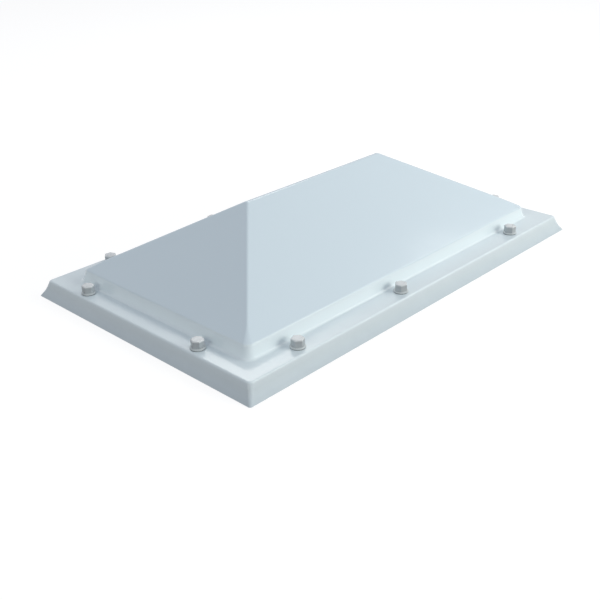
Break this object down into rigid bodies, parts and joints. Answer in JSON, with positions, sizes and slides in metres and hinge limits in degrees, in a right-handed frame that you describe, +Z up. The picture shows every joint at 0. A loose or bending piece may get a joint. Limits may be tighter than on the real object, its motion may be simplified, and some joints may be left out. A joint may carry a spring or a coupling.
{
  "type": "pyramid rooflight",
  "caption": "Rectangular hip-roofed rooflight dome of two opal acrylic skins, with a stepped foot, a flat flange, a flared rim and capped screws.",
  "frame": {"origin": "centre of the rectangle that the rim's lower edge makes, at the level it rests on", "axes": "+X along the long side, +Y towards the back long side, +Z up to the ridge"},
  "size_m": [1.04, 0.64, 0.1995],
  "materials": {
    "opal_acrylic": "opal white acrylic sheet, thermoformed, glossy",
    "inner_acrylic": "opal white acrylic sheet, thermoformed, glossy",
    "spacer_foam": "white closed-cell foam tape",
    "seal_foam": "dark grey closed-cell foam tape",
    "washer_plastic": "grey moulded plastic",
    "stainless_steel": "stainless steel",
    "cap_plastic": "light grey moulded plastic"
  },
  "bodies": {
    "root": {"cap_back_left": "cap_plastic", "cap_back_middle": "cap_plastic", "cap_back_right": "cap_plastic", "cap_front_left": "cap_plastic", "cap_front_middle": "cap_plastic", "cap_front_right": "cap_plastic", "cap_left_back": "cap_plastic", "cap_left_front": "cap_plastic", "cap_right_back": "cap_plastic", "cap_right_front": "cap_plastic", "inner_skin": "inner_acrylic", "kerb_seal_back": "seal_foam", "kerb_seal_front": "seal_foam", "kerb_seal_left": "seal_foam", "kerb_seal_right": "seal_foam", "outer_skin": "opal_acrylic", "screw_back_left": "stainless_steel", "screw_back_middle": "stainless_steel", "screw_back_right": "stainless_steel", "screw_front_left": "stainless_steel", "screw_front_middle": "stainless_steel", "screw_front_right": "stainless_steel", "screw_left_back": "stainless_steel", "screw_left_front": "stainless_steel", "screw_right_back": "stainless_steel", "screw_right_front": "stainless_steel", "spacer_strip_back": "spacer_foam", "spacer_strip_front": "spacer_foam", "spacer_strip_left": "spacer_foam", "spacer_strip_right": "spacer_foam", "washer_back_left": "washer_plastic", "washer_back_middle": "washer_plastic", "washer_back_right": "washer_plastic", "washer_front_left": "washer_plastic", "washer_front_middle": "washer_plastic", "washer_front_right": "washer_plastic", "washer_left_back": "washer_plastic", "washer_left_front": "washer_plastic", "washer_right_back": "washer_plastic", "washer_right_front": "washer_plastic"}
  },
  "joints": []
}
